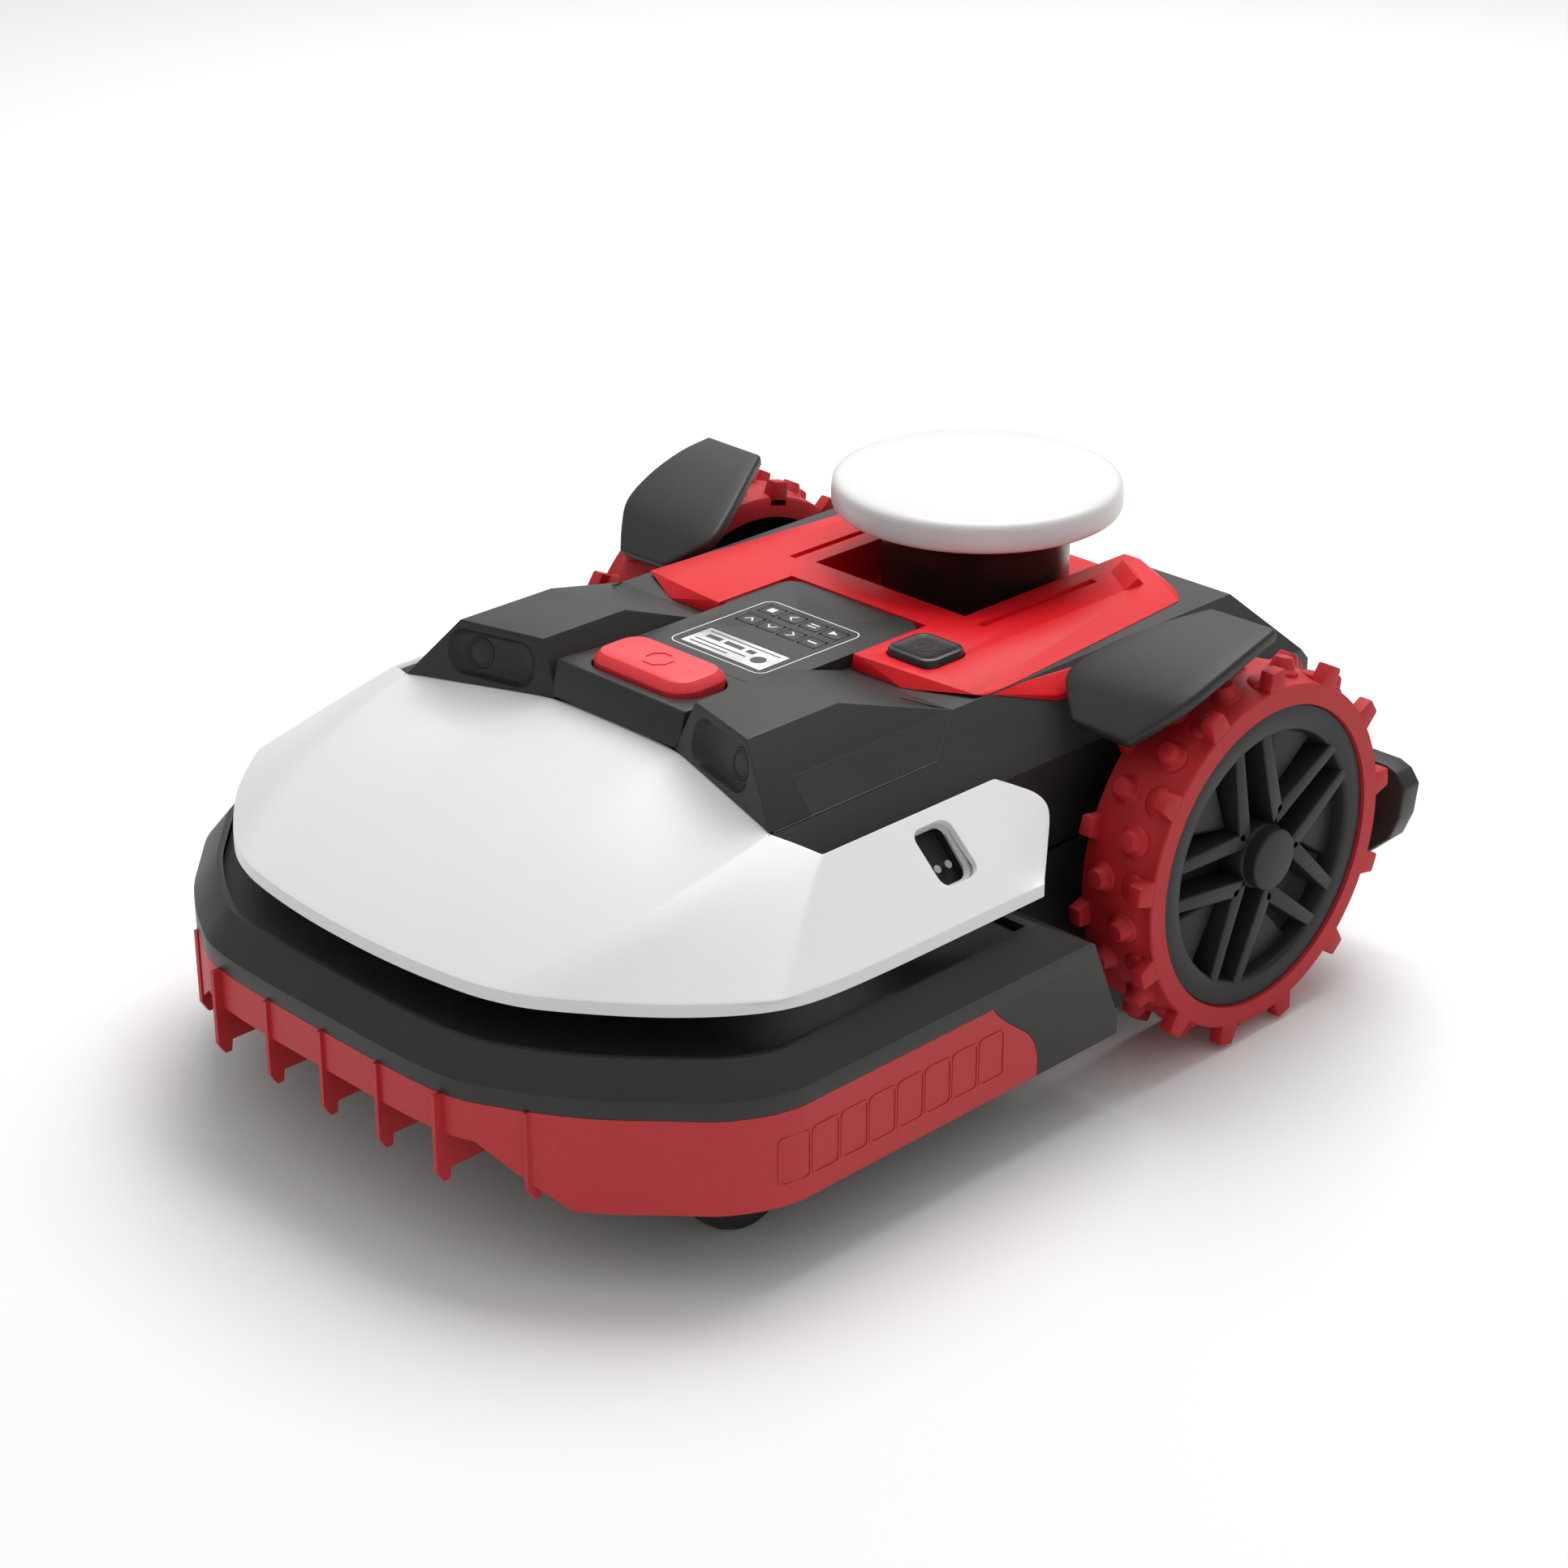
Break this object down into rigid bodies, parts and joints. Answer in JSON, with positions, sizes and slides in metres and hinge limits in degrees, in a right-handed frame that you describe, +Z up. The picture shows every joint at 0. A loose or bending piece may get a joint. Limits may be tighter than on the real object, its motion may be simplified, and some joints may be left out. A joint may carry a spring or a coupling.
{
  "type": "robotic lawn mower",
  "caption": "Battery robot mower with a bumper hood, large driven rear wheels, front casters, a satellite antenna, a stop button and a height-adjusted blade disc under a closed housing.",
  "frame": {"origin": "on the ground under the middle of the overall box", "axes": "+Z up, the front of the mower faces -Y, +X is the mower's left side, where the charging window is"},
  "size_m": [0.456, 0.613, 0.2747],
  "materials": {
    "shell_dark": "satin",
    "guard_red": "satin",
    "hood_white": "satin",
    "deck_red": "satin",
    "panel_dark": "matte",
    "display_grey": "gloss",
    "button_red": "gloss",
    "button_dark": "gloss",
    "key_grey": "matte",
    "tyre_red": "matte",
    "hub_dark": "satin",
    "steel": "brushed",
    "black_plastic": "matte",
    "black_rubber": "matte",
    "antenna_white": "satin",
    "neck_black": "satin",
    "lamp_green": "gloss",
    "board_green": "satin",
    "motor_black": "satin",
    "blade_steel": "brushed",
    "sensor_black": "gloss"
  },
  "bodies": {
    "chassis": {"lower_housing": "shell_dark", "front_guard": "guard_red", "inner_cover": "black_plastic", "battery_pack": "black_plastic", "main_board": "board_green", "gearbox_left": "black_plastic", "gearbox_right": "black_plastic", "rear_guard": "shell_dark", "battery_hatch": "shell_dark", "caster_bushes": "steel", "guide_rods": "steel", "height_motor": "motor_black", "cover_posts": "black_rubber", "housing_screws": "steel"},
    "float_frame": {"floating_frame": "hub_dark"},
    "cover": {"hood": "hood_white", "upper_body": "shell_dark", "pod_left": "shell_dark", "pod_right": "shell_dark", "range_sensors": "sensor_black", "stop_housing": "shell_dark", "control_panel": "panel_dark", "display": "display_grey", "deck_cover": "deck_red", "antenna_neck": "neck_black", "antenna_disc": "antenna_white", "status_lights": "lamp_green", "fender_left": "shell_dark", "fender_right": "shell_dark", "charge_socket": "black_plastic", "charge_pins": "steel"},
    "stop_button_body": {"stop_button": "button_red"},
    "power_button_body": {"power_button": "button_dark"},
    "key_1_body": {"key_1": "key_grey"},
    "key_2_body": {"key_2": "key_grey"},
    "key_3_body": {"key_3": "key_grey"},
    "key_4_body": {"key_4": "key_grey"},
    "key_5_body": {"key_5": "key_grey"},
    "key_6_body": {"key_6": "key_grey"},
    "key_7_body": {"key_7": "key_grey"},
    "key_8_body": {"key_8": "key_grey"},
    "wheel_left": {"tyre_left": "tyre_red", "rim_left": "hub_dark", "axle_left": "steel"},
    "caster_left": {"caster_fork_left": "hub_dark"},
    "caster_wheel_left_body": {"caster_wheel_left": "black_rubber"},
    "wheel_right": {"tyre_right": "tyre_red", "rim_right": "hub_dark", "axle_right": "steel"},
    "caster_right": {"caster_fork_right": "hub_dark"},
    "caster_wheel_right_body": {"caster_wheel_right": "black_rubber"},
    "height_carriage": {"carriage": "black_plastic", "blade_motor": "motor_black"},
    "lead_screw_body": {"lead_screw": "steel"},
    "cutter": {"blade_disc": "shell_dark", "blade_screws": "steel"},
    "blade_1_body": {"blade_1": "blade_steel"},
    "blade_2_body": {"blade_2": "blade_steel"},
    "blade_3_body": {"blade_3": "blade_steel"},
    "skid_plate_body": {"skid_plate": "hub_dark"}
  },
  "joints": [
    {"name": "cover_bump", "type": "slide", "parent": "chassis", "child": "float_frame", "axis": [0, 1, 0], "range_m": [-0.004, 0.004], "stiffness_N_per_m": 3000},
    {"name": "cover_lift", "type": "slide", "parent": "float_frame", "child": "cover", "axis": [0, 0, 1], "range_m": [0, 0.006]},
    {"name": "stop_press", "type": "slide", "parent": "cover", "child": "stop_button_body", "axis": [0, 0, -1], "range_m": [0, 0.0038], "stiffness_N_per_m": 1500, "springref_m": -0.001},
    {"name": "power_press", "type": "slide", "parent": "cover", "child": "power_button_body", "axis": [0, 0, -1], "range_m": [0, 0.0025], "stiffness_N_per_m": 800, "springref_m": -0.001},
    {"name": "key_1_press", "type": "slide", "parent": "cover", "child": "key_1_body", "axis": [0, 0, -1], "range_m": [0, 0.0005], "stiffness_N_per_m": 500, "springref_m": -0.0005},
    {"name": "key_2_press", "type": "slide", "parent": "cover", "child": "key_2_body", "axis": [0, 0, -1], "range_m": [0, 0.0005], "stiffness_N_per_m": 500, "springref_m": -0.0005},
    {"name": "key_3_press", "type": "slide", "parent": "cover", "child": "key_3_body", "axis": [0, 0, -1], "range_m": [0, 0.0005], "stiffness_N_per_m": 500, "springref_m": -0.0005},
    {"name": "key_4_press", "type": "slide", "parent": "cover", "child": "key_4_body", "axis": [0, 0, -1], "range_m": [0, 0.0005], "stiffness_N_per_m": 500, "springref_m": -0.0005},
    {"name": "key_5_press", "type": "slide", "parent": "cover", "child": "key_5_body", "axis": [0, 0, -1], "range_m": [0, 0.0005], "stiffness_N_per_m": 500, "springref_m": -0.0005},
    {"name": "key_6_press", "type": "slide", "parent": "cover", "child": "key_6_body", "axis": [0, 0, -1], "range_m": [0, 0.0005], "stiffness_N_per_m": 500, "springref_m": -0.0005},
    {"name": "key_7_press", "type": "slide", "parent": "cover", "child": "key_7_body", "axis": [0, 0, -1], "range_m": [0, 0.0005], "stiffness_N_per_m": 500, "springref_m": -0.0005},
    {"name": "key_8_press", "type": "slide", "parent": "cover", "child": "key_8_body", "axis": [0, 0, -1], "range_m": [0, 0.0005], "stiffness_N_per_m": 500, "springref_m": -0.0005},
    {"name": "wheel_left_spin", "type": "hinge", "parent": "chassis", "child": "wheel_left", "pos_m": [0.2015, 0.169, 0.11], "axis": [1, 0, 0], "continuous": true},
    {"name": "wheel_right_spin", "type": "hinge", "parent": "chassis", "child": "wheel_right", "pos_m": [-0.2015, 0.169, 0.11], "axis": [1, 0, 0], "continuous": true},
    {"name": "caster_left_swivel", "type": "hinge", "parent": "chassis", "child": "caster_left", "pos_m": [0.16, -0.185, 0.09], "axis": [0, 0, 1], "continuous": true},
    {"name": "caster_left_roll", "type": "hinge", "parent": "caster_left", "child": "caster_wheel_left_body", "pos_m": [0.16, -0.171, 0.035], "axis": [1, 0, 0], "continuous": true},
    {"name": "caster_right_swivel", "type": "hinge", "parent": "chassis", "child": "caster_right", "pos_m": [-0.16, -0.185, 0.09], "axis": [0, 0, 1], "continuous": true},
    {"name": "caster_right_roll", "type": "hinge", "parent": "caster_right", "child": "caster_wheel_right_body", "pos_m": [-0.16, -0.171, 0.035], "axis": [1, 0, 0], "continuous": true},
    {"name": "height_slide", "type": "slide", "parent": "chassis", "child": "height_carriage", "axis": [0, 0, 1], "range_m": [-0.02, 0.02]},
    {"name": "screw_turn", "type": "hinge", "parent": "chassis", "child": "lead_screw_body", "pos_m": [0, -0.023, 0.118], "axis": [0, 0, 1], "range_deg": [-1810, 1810]},
    {"name": "disc_spin", "type": "hinge", "parent": "height_carriage", "child": "cutter", "pos_m": [0, -0.085, 0.045], "axis": [0, 0, 1], "continuous": true},
    {"name": "blade_1_swing", "type": "hinge", "parent": "cutter", "child": "blade_1_body", "pos_m": [0.083, -0.085, 0.0389], "axis": [0, 0, 1], "continuous": true},
    {"name": "blade_2_swing", "type": "hinge", "parent": "cutter", "child": "blade_2_body", "pos_m": [-0.0415, -0.01312, 0.0389], "axis": [0, 0, 1], "continuous": true},
    {"name": "blade_3_swing", "type": "hinge", "parent": "cutter", "child": "blade_3_body", "pos_m": [-0.0415, -0.15688, 0.0389], "axis": [0, 0, 1], "continuous": true},
    {"name": "skid_spin", "type": "hinge", "parent": "cutter", "child": "skid_plate_body", "pos_m": [0, -0.085, 0.033], "axis": [0, 0, 1], "continuous": true}
  ],
  "couplings": [
    {"joint": "screw_turn", "follows": "height_slide", "rad_per_m": 1570.8}
  ]
}
